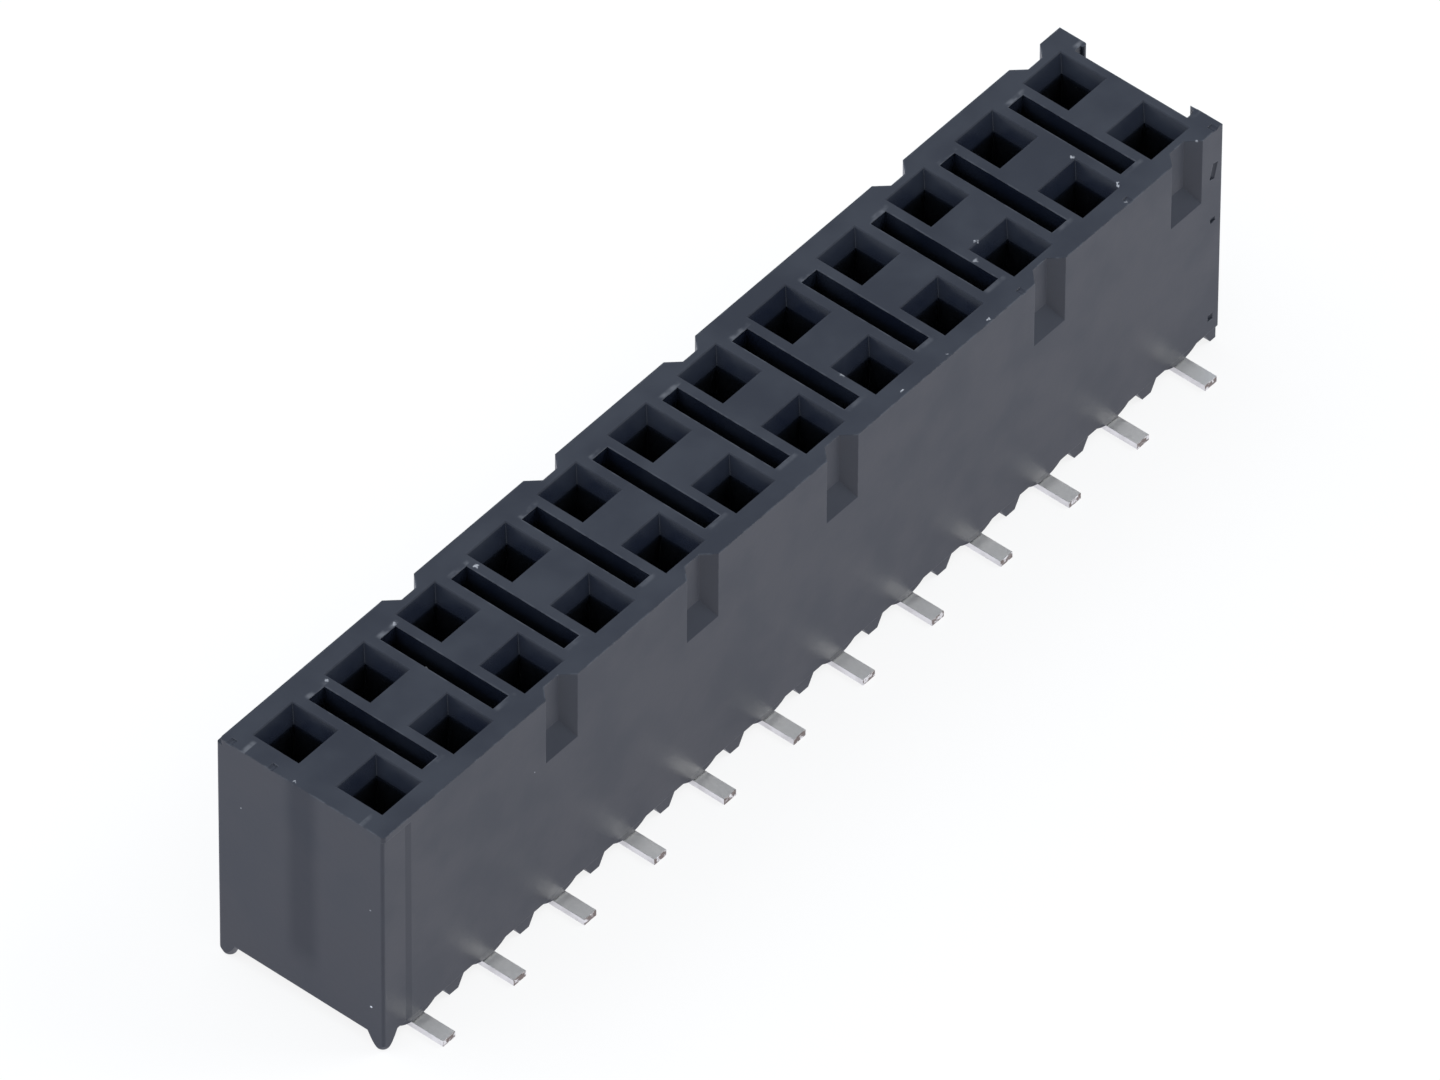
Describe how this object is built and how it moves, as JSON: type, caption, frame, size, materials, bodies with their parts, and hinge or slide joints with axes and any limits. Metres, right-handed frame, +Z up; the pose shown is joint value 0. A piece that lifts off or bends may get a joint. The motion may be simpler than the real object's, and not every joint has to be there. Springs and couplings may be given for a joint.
{
  "type": "socket header",
  "caption": "Straight surface-mount socket strip: moulded housing with rows of square funnelled sockets, slots between the columns, grooved sides, small feet and flat solder tails.",
  "frame": {"origin": "centre of the footprint on the board, at the underside of the solder tails", "axes": "+X along the strip from the moulded end to the cut end, +Z up from the board, -Y towards the row of tails that the picture shows"},
  "size_m": [0.0306, 0.0068, 0.0073],
  "materials": {
    "housing_plastic": "semi-gloss moulded black plastic",
    "tinned_contact": "matte tin plate"
  },
  "bodies": {
    "root": {"housing": "housing_plastic", "contact_a01": "tinned_contact", "contact_a02": "tinned_contact", "contact_a03": "tinned_contact", "contact_a04": "tinned_contact", "contact_a05": "tinned_contact", "contact_a06": "tinned_contact", "contact_a07": "tinned_contact", "contact_a08": "tinned_contact", "contact_a09": "tinned_contact", "contact_a10": "tinned_contact", "contact_a11": "tinned_contact", "contact_a12": "tinned_contact", "contact_b01": "tinned_contact", "contact_b02": "tinned_contact", "contact_b03": "tinned_contact", "contact_b04": "tinned_contact", "contact_b05": "tinned_contact", "contact_b06": "tinned_contact", "contact_b07": "tinned_contact", "contact_b08": "tinned_contact", "contact_b09": "tinned_contact", "contact_b10": "tinned_contact", "contact_b11": "tinned_contact", "contact_b12": "tinned_contact"}
  },
  "joints": []
}
